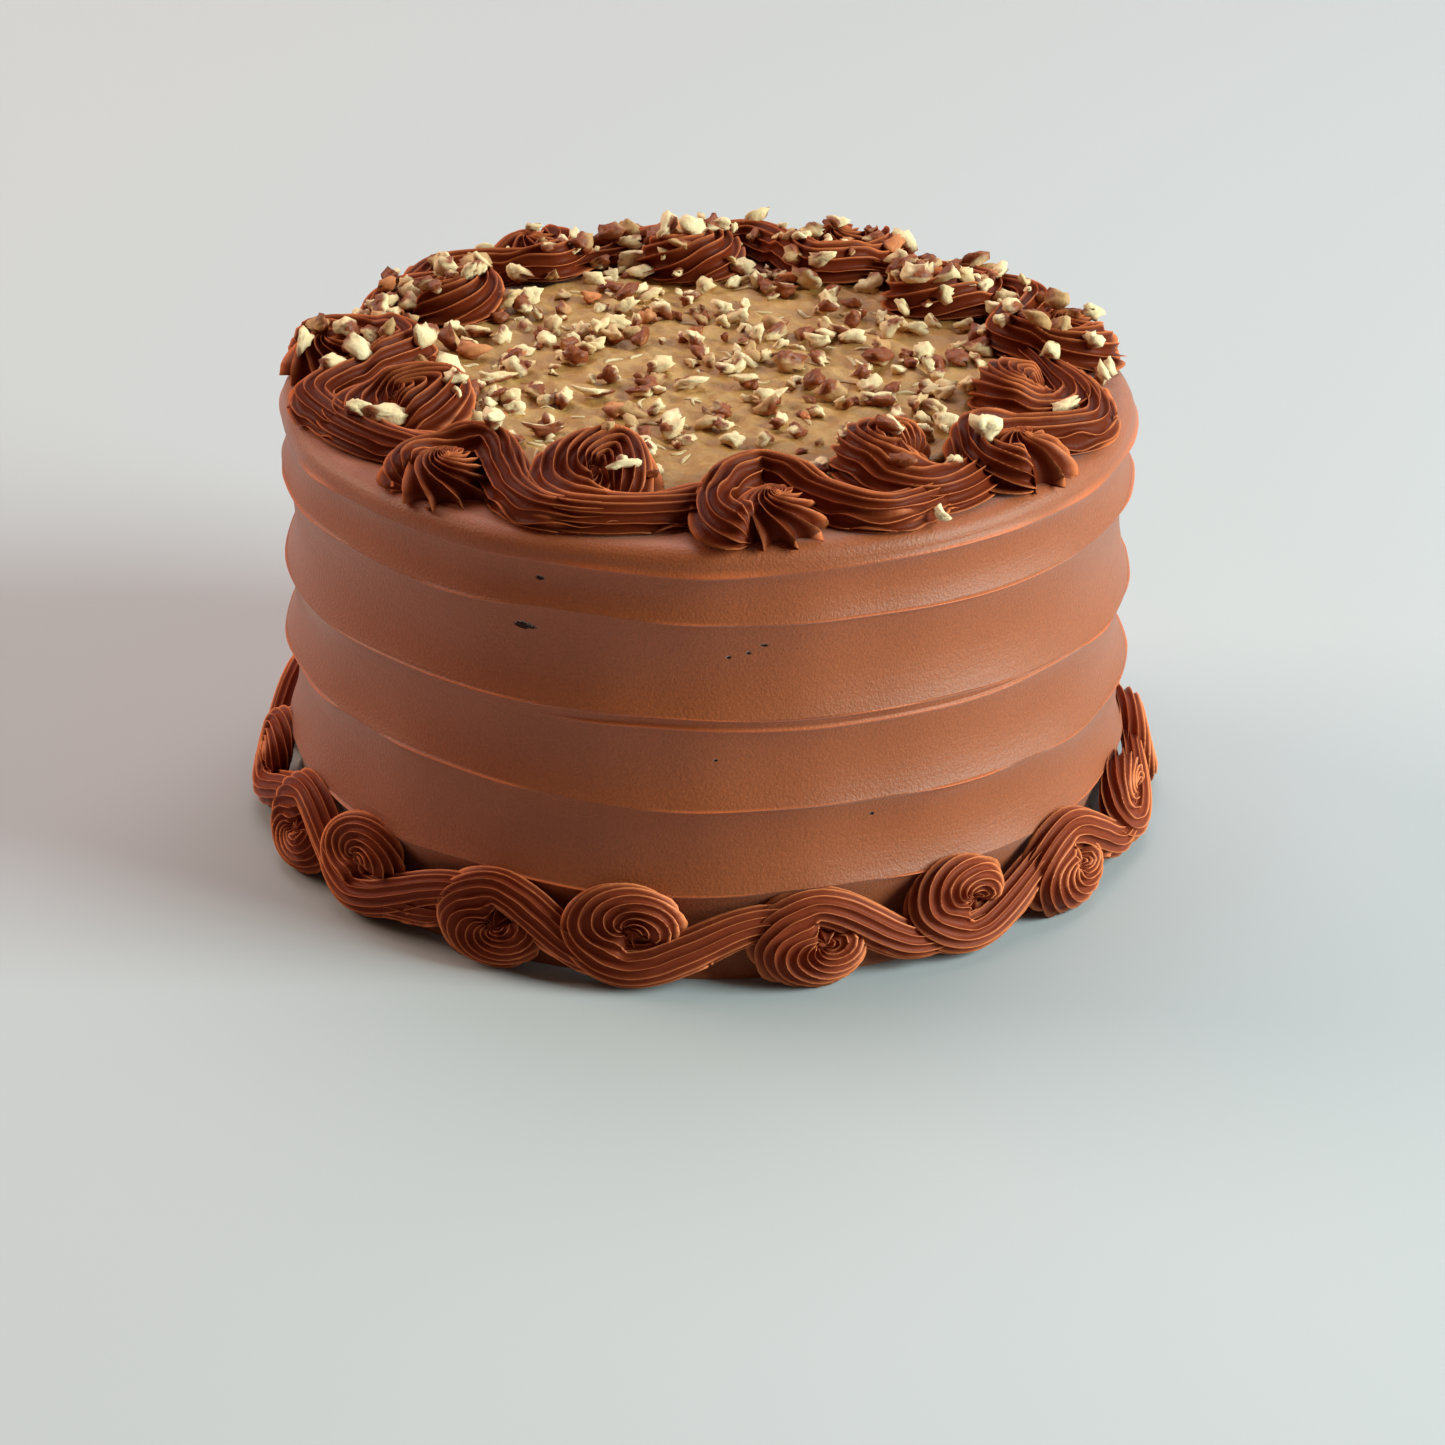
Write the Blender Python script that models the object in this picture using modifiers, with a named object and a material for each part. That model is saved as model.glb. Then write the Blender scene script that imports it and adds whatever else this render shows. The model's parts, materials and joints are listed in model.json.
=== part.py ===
"""Uncut round layer cake with combed sides, piped borders and a caramel top.

The cake stands on z = 0 with its centre line on the Z axis, +Z up, in metres.
Azimuth is measured from -Y, the front, towards +X.
"""
import math
import random

import bmesh
import bpy

# Frosted cake
HEIGHT = 0.1105
RIDGE_RADIUS = 0.1053
FLUTE_DEPTH = 0.0026
RIDGE_HEIGHTS = (0.0225, 0.0447, 0.0685, 0.0925, 0.1048)
FLUTE_STEPS = 4
RIM_ROUND = 0.0043
FOOT_RADIUS = 0.1042
CAKE_SEGMENTS = 54

# Caramel disc
GAP = 0.0003
CARAMEL_RADIUS = 0.0755
CARAMEL_THICKNESS = 0.0020
CARAMEL_EDGE = 0.0012

# Piped shells, in the flat frame of one shell: x runs along the border, y points
# the way that the head bulges, and n is the height above the shell's base.
HEAD_START = math.radians(30.0)
HEAD_END = math.radians(270.0)
HEAD_SECTIONS = 7
TAIL_SECTIONS = 4
CURL_START = 0.0035
TAIL_TAPER = 0.22
TAIL_BEND = 0.80
HALF_WIDTH = 0.0072
PIVOT_CLEARANCE = 0.0005
RIDGES = 4
GROOVE_DEPTH = 0.20

# Top border: azimuths of the shells' pivots in degrees. Every other shell, from the
# first on, curls out over the rim, and the ones between curl in over the caramel.
TOP_AZIMUTHS = (-93.0, -67.5, -41.5, -18.5, 9.5, 35.5, 56.0, 78.5, 105.0, 131.5, 158.5, 185.5,
                212.5, 240.0)
TOP_OUT_RADIUS = 0.0890
TOP_IN_RADIUS = 0.0790
TOP_SHELL_HEIGHT = 0.0098
TOP_CURL_END = 0.0160
TOP_CURL_GROWTH = 1.30
TOP_HEAD_REACH = 0.0228
TOP_TAIL_RISE = 0.0165
CARAMEL_RAMP = (0.0845, 0.0885)

# Bottom border, on a steep cone between the side and the table. Every other shell,
# from the first on, curls down to the table, and the ones between curl up the side.
BOTTOM_AZIMUTHS = (-64.0, -49.0, -27.0, -9.0, 14.3, 35.0, 54.5, 74.0, 94.0, 114.0,
                   134.0, 154.0, 174.0, 194.0, 214.0, 234.5, 255.0, 276.0)
BOTTOM_OUT_RISE = 0.0104
BOTTOM_IN_RISE = 0.0142
BOTTOM_SHELL_HEIGHT = 0.0058
BOTTOM_CURL_END = 0.0120
BOTTOM_CURL_GROWTH = 0.70
BOTTOM_HEAD_REACH = 0.0192
BOTTOM_TAIL_RISE = 0.0072
BOTTOM_SQUASH = 0.72
SLOPE_FOOT = 0.1128
SLOPE_TOP = (0.1058, 0.0230)

# The largest pieces of chopped nut, lying on the caramel: azimuth in degrees,
# distance from the centre line, length, width, height, and heading in degrees
NUTS = (
    (-59.0, 0.0323, 0.0115, 0.0045, 0.0036, -8.0),
    (-76.0, 0.0250, 0.0085, 0.0070, 0.0050, 60.0),
    (-130.0, 0.0363, 0.0080, 0.0055, 0.0048, 75.0),
    (47.0, 0.0130, 0.0085, 0.0062, 0.0042, -20.0),
    (37.0, 0.0250, 0.0105, 0.0052, 0.0040, 15.0),
    (-48.0, 0.0220, 0.0082, 0.0055, 0.0030, 20.0),
    (-14.0, 0.0370, 0.0105, 0.0050, 0.0046, 58.0),
    (149.0, 0.0600, 0.0082, 0.0064, 0.0045, 30.0),
    (81.0, 0.0380, 0.0080, 0.0066, 0.0052, 10.0),
    (64.0, 0.0452, 0.0092, 0.0054, 0.0038, 5.0),
    (-83.0, 0.0520, 0.0130, 0.0040, 0.0034, 14.0),
    (-43.0, 0.0570, 0.0115, 0.0038, 0.0030, 10.0),
)
NUT_ROUGHNESS = 0.16
NUT_CUT = -0.22

# Colours of the three icings and the nuts
CHOCOLATE = (0.235, 0.088, 0.042, 1.0)
BORDER_CHOCOLATE = (0.175, 0.045, 0.022, 1.0)
CARAMEL = (0.42, 0.22, 0.085, 1.0)
NUT = (0.62, 0.46, 0.24, 1.0)


def clear_scene():
    """Remove whatever the open file holds."""
    for thing in list(bpy.data.objects):
        bpy.data.objects.remove(thing, do_unlink=True)
    for group in list(bpy.data.collections):
        bpy.data.collections.remove(group)


def material(name, colour, roughness):
    """One Principled material with a plain colour."""
    made = bpy.data.materials.new(name)
    made.use_nodes = True
    shader = made.node_tree.nodes["Principled BSDF"]
    shader.inputs["Base Color"].default_value = colour
    shader.inputs["Roughness"].default_value = roughness
    shader.inputs["Metallic"].default_value = 0.0
    made.diffuse_color = colour
    return made


def add_object(name, mesh, look, collection):
    """Place a mesh at the origin with its material."""
    mesh.materials.append(look)
    thing = bpy.data.objects.new(name, mesh)
    collection.objects.link(thing)
    return thing


def turned(name, outline, segments, look, collection):
    """Solid of revolution of an outline that runs from the axis at the top to the foot."""
    mesh = bpy.data.meshes.new(name)
    vertices = [(radius, 0.0, height) for radius, height in outline]
    edges = [(i, i + 1) for i in range(len(outline) - 1)]
    mesh.from_pydata(vertices, edges, [])
    thing = add_object(name, mesh, look, collection)
    screw = thing.modifiers.new("turn", 'SCREW')
    screw.axis = 'Z'
    screw.angle = 2.0 * math.pi
    screw.steps = segments
    screw.render_steps = segments
    screw.use_merge_vertices = True
    screw.merge_threshold = 0.0001
    screw.use_smooth_shade = False
    return thing


def flute(low, high):
    """Points of one hollow comb flute, from its upper ridge down to its lower one."""
    points = []
    for step in range(FLUTE_STEPS):
        share = step / FLUTE_STEPS
        depth = FLUTE_DEPTH * min(1.0, (high - low) / 0.022) * 4.0 * share * (1.0 - share)
        points.append((RIDGE_RADIUS - depth, high + (low - high) * share))
    return points


def cake_outline():
    """Half section of the frosted cake, from the centre of its top to the centre of its base."""
    centre = (RIDGE_RADIUS - RIM_ROUND, HEIGHT - RIM_ROUND)
    outline = [(0.0, HEIGHT)]
    for step in range(3):
        angle = math.radians(90.0 - 30.0 * step)
        outline.append((centre[0] + RIM_ROUND * math.cos(angle),
                        centre[1] + RIM_ROUND * math.sin(angle)))
    ridges = RIDGE_HEIGHTS[::-1]
    for high, low in zip(ridges[:-1], ridges[1:]):
        outline += flute(low, high)
    outline += flute(0.0, ridges[-1])
    outline += [(FOOT_RADIUS, 0.0), (0.0, 0.0)]
    return outline


def caramel_outline():
    """Half section of the caramel disc, with a rounded upper edge."""
    low = HEIGHT + GAP
    high = low + CARAMEL_THICKNESS
    return [(0.0, high), (CARAMEL_RADIUS - CARAMEL_EDGE, high),
            (CARAMEL_RADIUS, high - CARAMEL_EDGE), (CARAMEL_RADIUS, low), (0.0, low)]


def smooth(value):
    """Rise from 0 to 1 with level ends."""
    value = min(max(value, 0.0), 1.0)
    return value * value * (3.0 - 2.0 * value)


def shell_stations(scale, tail, curl_end, growth, rise):
    """Stations along a piped shell: centre, sideways direction, half widths and height.

    The head curls round its pivot on a spiral that grows to curl_end, and its sections
    stand on planes through the pivot. The tail then runs along x and bends to the y side.
    """
    stations = []
    for step in range(HEAD_SECTIONS):
        share = step / (HEAD_SECTIONS - 1)
        angle = HEAD_START + (HEAD_END - HEAD_START) * share
        reach = (CURL_START + (curl_end - CURL_START) * share ** growth) * scale
        side = (math.cos(angle), math.sin(angle))
        width = HALF_WIDTH * scale * (0.85 + 0.15 * smooth(share * 3.0))
        inner = min(width, reach - PIVOT_CLEARANCE)
        height = 0.62 + 0.38 * smooth(share * 2.2)
        stations.append(((reach * side[0], reach * side[1]), side, width, inner, height))
    for step in range(1, TAIL_SECTIONS + 1):
        share = step / TAIL_SECTIONS
        bend = smooth(share * TAIL_BEND)
        slope = smooth(share * TAIL_BEND + 0.01) - smooth(share * TAIL_BEND - 0.01)
        lean = math.atan2(rise * slope * TAIL_BEND, tail * 0.02)
        side = (math.sin(lean), -math.cos(lean))
        width = HALF_WIDTH * scale * (1.0 - TAIL_TAPER * share)
        centre = (tail * share, -curl_end * scale + rise * bend)
        stations.append((centre, side, width, width, 1.0 - 0.42 * share))
    return stations


def shell_rings(stations):
    """Closed sections of a shell as (x, y, n, is base) points, ridged over the top."""
    rings = []
    for centre, side, outer, inner, height in stations:
        ring = []
        for step in range(2 * RIDGES + 1):
            angle = math.pi * step / (2 * RIDGES)
            swell = 1.0 if step % 2 else 1.0 - GROOVE_DEPTH
            reach = (outer if math.cos(angle) > 0.0 else inner) * math.cos(angle)
            if 0 < step < 2 * RIDGES:
                reach *= swell
            level = height * math.sin(angle) * swell
            ring.append((centre[0] + side[0] * reach, centre[1] + side[1] * reach,
                         max(level, 0.0), False))
        ring.append((centre[0], centre[1], 0.0, True))
        rings.append(ring)
    return rings


def loft(name, rings, look, collection):
    """Closed solid through rings of equal length, with a fan over each end."""
    mesh = bpy.data.meshes.new(name)
    body = bmesh.new()
    rows = [[body.verts.new(point) for point in ring] for ring in rings]
    count = len(rows[0])
    for row, following in zip(rows[:-1], rows[1:]):
        for i in range(count):
            j = (i + 1) % count
            body.faces.new((row[i], row[j], following[j]))
            body.faces.new((row[i], following[j], following[i]))
    for row in (rows[0], rows[-1]):
        for i in range(count - 2):
            body.faces.new((row[-1], row[i], row[i + 1]))
    bmesh.ops.recalc_face_normals(body, faces=body.faces)
    body.to_mesh(mesh)
    body.free()
    return add_object(name, mesh, look, collection)


def on_top(azimuth, radius, outward):
    """Place a shell point on the top, where its base steps up over the caramel."""
    def place(x, y, n, is_base):
        reach = radius + (y if outward else -y)
        turn = azimuth + x / radius
        rise = 1.0 - smooth((reach - CARAMEL_RAMP[0]) / (CARAMEL_RAMP[1] - CARAMEL_RAMP[0]))
        base = HEIGHT + GAP + (CARAMEL_THICKNESS + GAP) * rise
        level = base + n * TOP_SHELL_HEIGHT
        return (reach * math.sin(turn), -reach * math.cos(turn), level)
    return place


def on_slope(azimuth, rise, outward):
    """Place a shell point on the steep cone of the foot, its base pushed into the corner."""
    run = (SLOPE_TOP[0] - SLOPE_FOOT, SLOPE_TOP[1])
    length = math.hypot(run[0], run[1])
    along = (run[0] / length, run[1] / length)
    normal = (along[1], -along[0])

    def place(x, y, n, is_base):
        up = rise + (-y if outward else y) * BOTTOM_SQUASH
        radius = SLOPE_FOOT + along[0] * up
        height = along[1] * up
        lift = n * BOTTOM_SHELL_HEIGHT
        if is_base:
            to_side = (radius - SLOPE_TOP[0]) / normal[0]
            to_table = height / normal[1]
            lift = -0.9 * max(0.0, min(to_side, to_table))
        radius += normal[0] * lift
        height += normal[1] * lift
        turn = azimuth + x / SLOPE_FOOT
        return (radius * math.sin(turn), -radius * math.cos(turn), max(height, 0.0))
    return place


def shell_size(index):
    """A hand-piped shell's own size, as a share of the usual one."""
    return 1.0 + 0.025 * math.sin(2.4 * index + 0.6)


def border(name, azimuths, radius, curl, place_out, place_in, look, collection):
    """A ring of shells, each one's tail ending just short of the next one's head.

    The curl holds the spiral's end and growth, how far before a pivot the head's room
    starts, and the tail's rise.
    """
    count = len(azimuths)
    curl_end, growth, head_reach, rise = curl
    for index, azimuth in enumerate(azimuths):
        spacing = math.radians((azimuths[(index + 1) % count] - azimuth) % 360.0) * radius
        place = (place_in if index % 2 else place_out)(math.radians(azimuth))
        stations = shell_stations(shell_size(index), spacing - head_reach, curl_end, growth, rise)
        placed = [[place(*point) for point in ring] for ring in shell_rings(stations)]
        loft(f"{name}_{index + 1:02d}", placed, look, collection)


def nut_piece(name, nut, look, collection):
    """A chopped nut piece: a small uneven many-sided lump, cut flat below."""
    azimuth, distance, length, width, height, heading = nut
    chance = random.Random(name)
    mesh = bpy.data.meshes.new(name)
    body = bmesh.new()
    bmesh.ops.create_icosphere(body, subdivisions=1, radius=0.5)
    turn = math.radians(heading)
    place = math.radians(azimuth)
    base = HEIGHT + CARAMEL_THICKNESS + 2.0 * GAP
    for vertex in body.verts:
        swell = 1.0 + NUT_ROUGHNESS * (2.0 * chance.random() - 1.0)
        along = vertex.co.x * length * swell
        across = vertex.co.y * width * swell
        vertex.co.x = distance * math.sin(place) + along * math.cos(turn) - across * math.sin(turn)
        vertex.co.y = -distance * math.cos(place) + along * math.sin(turn) + across * math.cos(turn)
        vertex.co.z = base + max(vertex.co.z - NUT_CUT, 0.0) / (0.5 - NUT_CUT) * height * swell
    bmesh.ops.recalc_face_normals(body, faces=body.faces)
    body.to_mesh(mesh)
    body.free()
    return add_object(name, mesh, look, collection)


def build():
    """Build the whole cake in one collection."""
    clear_scene()
    cake = bpy.data.collections.new("layer_cake")
    bpy.context.scene.collection.children.link(cake)
    chocolate = material("chocolate_frosting", CHOCOLATE, 0.55)
    piped = material("piped_chocolate", BORDER_CHOCOLATE, 0.38)
    caramel = material("caramel_filling", CARAMEL, 0.35)
    nut = material("chopped_nut", NUT, 0.6)
    turned("frosted_cake", cake_outline(), CAKE_SEGMENTS, chocolate, cake)
    turned("caramel_topping", caramel_outline(), CAKE_SEGMENTS, caramel, cake)
    border("top_shell", TOP_AZIMUTHS, (TOP_OUT_RADIUS + TOP_IN_RADIUS) / 2.0,
           (TOP_CURL_END, TOP_CURL_GROWTH, TOP_HEAD_REACH, TOP_TAIL_RISE),
           lambda azimuth: on_top(azimuth, TOP_OUT_RADIUS, True),
           lambda azimuth: on_top(azimuth, TOP_IN_RADIUS, False), piped, cake)
    border("bottom_shell", BOTTOM_AZIMUTHS, SLOPE_FOOT,
           (BOTTOM_CURL_END, BOTTOM_CURL_GROWTH, BOTTOM_HEAD_REACH, BOTTOM_TAIL_RISE),
           lambda azimuth: on_slope(azimuth, BOTTOM_OUT_RISE, True),
           lambda azimuth: on_slope(azimuth, BOTTOM_IN_RISE, False), piped, cake)
    for index, piece in enumerate(NUTS):
        nut_piece(f"nut_piece_{index + 1:02d}", piece, nut, cake)


if __name__ == "__main__":
    build()
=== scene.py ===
import json
import math

import bpy
import numpy as np
from bpy.props import FloatProperty, FloatVectorProperty, IntProperty, PointerProperty
from mathutils import Matrix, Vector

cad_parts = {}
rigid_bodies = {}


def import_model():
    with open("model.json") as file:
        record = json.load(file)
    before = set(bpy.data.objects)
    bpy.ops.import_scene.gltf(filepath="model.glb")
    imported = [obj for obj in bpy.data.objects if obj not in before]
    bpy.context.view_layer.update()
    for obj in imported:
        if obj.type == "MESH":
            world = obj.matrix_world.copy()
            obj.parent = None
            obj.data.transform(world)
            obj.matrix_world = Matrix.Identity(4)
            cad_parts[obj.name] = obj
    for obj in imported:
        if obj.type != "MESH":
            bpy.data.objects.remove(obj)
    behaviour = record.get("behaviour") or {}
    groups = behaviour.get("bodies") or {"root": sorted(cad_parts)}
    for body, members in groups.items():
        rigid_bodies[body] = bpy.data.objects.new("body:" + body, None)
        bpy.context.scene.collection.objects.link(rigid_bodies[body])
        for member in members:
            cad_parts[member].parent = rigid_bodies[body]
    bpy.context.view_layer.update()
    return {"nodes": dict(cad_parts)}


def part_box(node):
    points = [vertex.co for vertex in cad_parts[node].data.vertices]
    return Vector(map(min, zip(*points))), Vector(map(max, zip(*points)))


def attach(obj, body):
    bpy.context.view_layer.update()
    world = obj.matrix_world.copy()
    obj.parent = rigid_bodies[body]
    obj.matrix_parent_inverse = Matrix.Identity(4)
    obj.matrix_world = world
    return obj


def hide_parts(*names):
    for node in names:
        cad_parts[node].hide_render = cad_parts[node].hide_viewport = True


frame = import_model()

bl_info = {
    "name": "Layer Cake",
    "version": (1, 0, 0),
    "blender": (4, 5, 0),
    "location": "View3D > Sidebar > Cake",
    "description": "Finishes a frosted layer cake round its fixed solids",
    "category": "Object",
}

MM = 0.001
TURN = 2.0 * math.pi

# What the frame says
CAKE_LOW, CAKE_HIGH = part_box("frosted_cake")
CARAMEL_LOW, CARAMEL_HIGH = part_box("caramel_topping")
CAKE_TOP = CAKE_HIGH.z
CAKE_RADIUS = CAKE_HIGH.x
CARAMEL_TOP = CARAMEL_HIGH.z
CARAMEL_RADIUS = CARAMEL_HIGH.x
TOP_NODES = sorted(name for name in frame["nodes"] if name.startswith("top_shell"))
BOTTOM_NODES = sorted(name for name in frame["nodes"] if name.startswith("bottom_shell"))
NUT_NODES = sorted(name for name in frame["nodes"] if name.startswith("nut_piece"))

# Piped ropes: every ridge has six columns of points, at these shares of its pitch, a head's
# curl ends at this angle, and a rope is this share narrower and shallower at its tail's end
RIDGE_SHARES = np.array([0.0, 0.08, 0.26, 0.50, 0.74, 0.92])
HEAD_END = math.radians(270.0)
TAIL_THINNING = 0.15


# ---------------------------------------------------------------- numbers and fields

def smooth(value):
    """Rise from 0 to 1 with level ends: 3 v^2 - 2 v^3 of the value held within 0 and 1."""
    value = np.clip(value, 0.0, 1.0)
    return value * value * (3.0 - 2.0 * value)


def unit(vectors):
    """The rows of an array of vectors, each made 1 long."""
    return vectors / np.linalg.norm(vectors, axis=1, keepdims=True)


def waves(points, size, seed, count=18):
    """Smooth uneven field: a sum of sines in random directions, whose lengths are near size.

    The sum is scaled so that most values lie between -1.5 and 1.5.
    """
    chance = np.random.default_rng(seed)
    heading = unit(chance.normal(size=(count, points.shape[-1])))
    length = size * chance.uniform(0.6, 1.6, count)
    phase = chance.uniform(0.0, TURN, count)
    total = np.sin(points @ (heading * (TURN / length)[:, None]).T + phase).sum(-1)
    return total * math.sqrt(2.0 / count)


def polar_points(azimuth, radius, height):
    """Points from their azimuth, which is 0 at the front (-Y) and grows towards +X."""
    parts = (radius * np.sin(azimuth), -radius * np.cos(azimuth), height)
    return np.stack(np.broadcast_arrays(*parts), axis=-1)


def mesh_points(mesh):
    """The corners of a mesh as an array."""
    flat = np.empty(len(mesh.vertices) * 3, np.float32)
    mesh.vertices.foreach_get("co", flat)
    return flat.reshape(-1, 3)


def node_points(node):
    """The corners of a CAD node as an array."""
    return mesh_points(frame["nodes"][node].data).astype(float)


def polar_range(node):
    """Lowest and highest azimuth and radius of a CAD node."""
    points = node_points(node)
    middle = points.mean(0)
    centre = math.atan2(middle[0], -middle[1])
    offset = np.arctan2(points[:, 0], -points[:, 1]) - centre
    offset = (offset + math.pi) % TURN - math.pi
    radius = np.hypot(points[:, 0], points[:, 1])
    return centre + offset.min(), centre + offset.max(), radius.min(), radius.max()


# ---------------------------------------------------------------- meshes

def grid_faces(rows, columns):
    """Quads between neighbours of a grid of rows by columns, closed across the columns."""
    index = np.arange(rows * columns).reshape(rows, columns)
    across = np.roll(index, -1, axis=1)
    quads = np.stack([index[:-1], across[:-1], across[1:], index[1:]], axis=-1)
    return quads.reshape(-1, 4)


def fan_faces(ring, pole, outward):
    """Triangles from a closed ring of points to a pole."""
    across = np.roll(ring, -1)
    near, far = (ring, across) if outward else (across, ring)
    return np.stack([near, far, np.full(len(ring), pole)], axis=-1)


def closed_grid(points, turned=False):
    """Vertices and faces of a grid of rows by columns, closed across and capped at its ends.

    Each end is closed by a fan to the mean of its row. Turned faces look the other way.
    """
    rows, columns, _ = points.shape
    first, last = points[0].mean(0), points[-1].mean(0)
    vertices = np.concatenate([points.reshape(-1, 3), [first], [last]])
    count = rows * columns
    ring = np.arange(columns)
    faces = [grid_faces(rows, columns),
             fan_faces(ring, count, False),
             fan_faces(ring + count - columns, count + 1, True)]
    return vertices, ([part[:, ::-1] for part in faces] if turned else faces)


def closed_values(values):
    """A value for each vertex of a closed grid: the grid's own, then the mean of each end."""
    return np.append(values.reshape(-1), values[[0, -1]].mean(1))


def joined(parts):
    """Several (vertices, faces, fields) parts as one, their numbering shifted."""
    vertices, faces, fields, start = [], [], {}, 0
    for points, quads, values in parts:
        vertices.append(points)
        faces += [part + start for part in quads]
        for name, value in values.items():
            fields.setdefault(name, []).append(value)
        start += len(points)
    return np.concatenate(vertices), faces, {n: np.concatenate(v) for n, v in fields.items()}


def add_piece(name, vertices, faces, fields, finish, slot):
    """One smooth-shaded piece from arrays, with point values for its finish, on the body."""
    mesh = bpy.data.meshes.new(name)
    polygons = [row for part in faces for row in part.tolist()]
    mesh.from_pydata(vertices.tolist(), [], polygons)
    for field, values in fields.items():
        layer = mesh.attributes.new(field, 'FLOAT', 'POINT')
        layer.data.foreach_set("value", np.asarray(values, np.float32))
    mesh.shade_smooth()
    mesh.materials.append(finish)
    piece = bpy.data.objects.new(name, mesh)
    bpy.context.scene.collection.objects.link(piece)
    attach(piece, "root")
    return piece


# ---------------------------------------------------------------- finishes

class Wire:
    """A node's output, so that maths on it adds Math nodes."""

    def __init__(self, finish, socket):
        self.finish = finish
        self.socket = socket

    def maths(self, operation, *others):
        sockets = dict(enumerate((self,) + others))
        return self.finish.node('ShaderNodeMath', {"operation": operation}, sockets)

    def __add__(self, other):
        return self.maths('ADD', other)

    __radd__ = __add__

    def __sub__(self, other):
        return self.maths('SUBTRACT', other)

    def __rsub__(self, other):
        return (self * -1.0) + other

    def __mul__(self, other):
        return self.maths('MULTIPLY', other)

    __rmul__ = __mul__

    def power(self, exponent):
        return self.maths('POWER', exponent)

    def ramp(self, low, high):
        """0 up to low, 1 from high on, with level ends."""
        settings = {"interpolation_type": 'SMOOTHSTEP'}
        return self.finish.node('ShaderNodeMapRange', settings, {0: self, 1: low, 2: high})


class Finish:
    """One Principled material and the nodes that feed it."""

    def __init__(self, name, **constants):
        self.material = bpy.data.materials.new(name)
        self.material.use_nodes = True
        self.tree = self.material.node_tree
        self.shader = self.tree.nodes["Principled BSDF"]
        for socket, value in constants.items():
            self.feed(socket.replace("_", " "), value)

    def node(self, kind, settings=None, sockets=None, output=0):
        made = self.tree.nodes.new(kind)
        for name, value in (settings or {}).items():
            setattr(made, name, value)
        for key, value in (sockets or {}).items():
            self.join(made.inputs[key], value)
        return Wire(self, made.outputs[output])

    def join(self, socket, value):
        if isinstance(value, Wire):
            self.tree.links.new(value.socket, socket)
        else:
            socket.default_value = value

    def feed(self, socket, value):
        self.join(self.shader.inputs[socket], value)

    def vector(self, operation, *values, output=0):
        """Vector maths on links or constants; a length comes out of output 1."""
        settings = {"operation": operation}
        return self.node('ShaderNodeVectorMath', settings, dict(enumerate(values)), output)

    def place(self):
        """Object coordinates."""
        return self.node('ShaderNodeTexCoord', output=3)

    def field(self, name):
        """A point value of the mesh."""
        return self.node('ShaderNodeAttribute', {"attribute_name": name}, output=2)

    def noise(self, size, detail=2.0, roughness=0.5, stretch=(1.0, 1.0, 1.0)):
        """Noise whose lumps are about size across, in metres, on Object coordinates."""
        scaled = self.vector('MULTIPLY', self.place(), tuple(s / size for s in stretch))
        sockets = {"Vector": scaled, "Scale": 1.0, "Detail": detail, "Roughness": roughness}
        return self.node('ShaderNodeTexNoise', None, sockets)

    def spot(self, centre, half_length, half_height, uneven):
        """1 inside an uneven oval on the cake's side, 0 outside it."""
        scale = (1.0 / half_length, 1.0 / half_length, 1.0 / half_height)
        away = self.vector('MULTIPLY', self.vector('SUBTRACT', self.place(), centre), scale)
        reach = self.vector('LENGTH', away, output=1)
        return 1.0 - (reach + uneven - 0.5).ramp(0.80, 1.20)

    def blend(self, factor, low, high):
        """From the low colour at 0 to the high one at 1."""
        settings = {"data_type": 'RGBA', "clamp_factor": True}
        sockets = {0: factor, 6: low, 7: high}
        return self.node('ShaderNodeMix', settings, sockets, output=2)

    def bump(self, height, depth):
        """Relief of a height from 0 to 1 that is depth metres deep."""
        sockets = {"Height": height, "Distance": depth, "Strength": 1.0}
        self.feed("Normal", self.node('ShaderNodeBump', None, sockets))


def colour(shade, red=1.0, green=1.0, blue=1.0):
    """A colour as a socket takes it, its parts multiplied and held below 1."""
    return tuple(min(1.0, c * k) for c, k in zip(shade, (red, green, blue))) + (1.0,)


# ---------------------------------------------------------------- properties

def shade_property(name, description, default):
    """A colour that a user may change."""
    return FloatVectorProperty(name=name, description=description, subtype='COLOR', size=3,
                               min=0.0, max=1.0, default=default)


class CAKE_PG_frosting(bpy.types.PropertyGroup):
    """The combed side and the smooth rim."""
    shade: shade_property("Colour", "Colour of the chocolate frosting", (0.332, 0.067, 0.0132))
    columns: IntProperty(name="Columns", description="Points round the cake", default=440)
    flute_depth: FloatProperty(name="Flute depth", unit='LENGTH', default=0.0026,
                               description="Depth of the hollows between the comb's ridges")
    burr: FloatProperty(name="Burr", unit='LENGTH', default=0.00070,
                        description="Height of the thin lip that the comb leaves on a ridge")


class CAKE_PG_caramel(bpy.types.PropertyGroup):
    """The caramel spread over the top."""
    shade: shade_property("Colour", "Colour of the caramel", (0.47, 0.232, 0.072))
    lumps: FloatProperty(name="Lumps", unit='LENGTH', default=0.00055,
                         description="Height of the soft lumps")
    shreds: IntProperty(name="Shreds", description="Number of coconut shreds", default=60)


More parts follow.
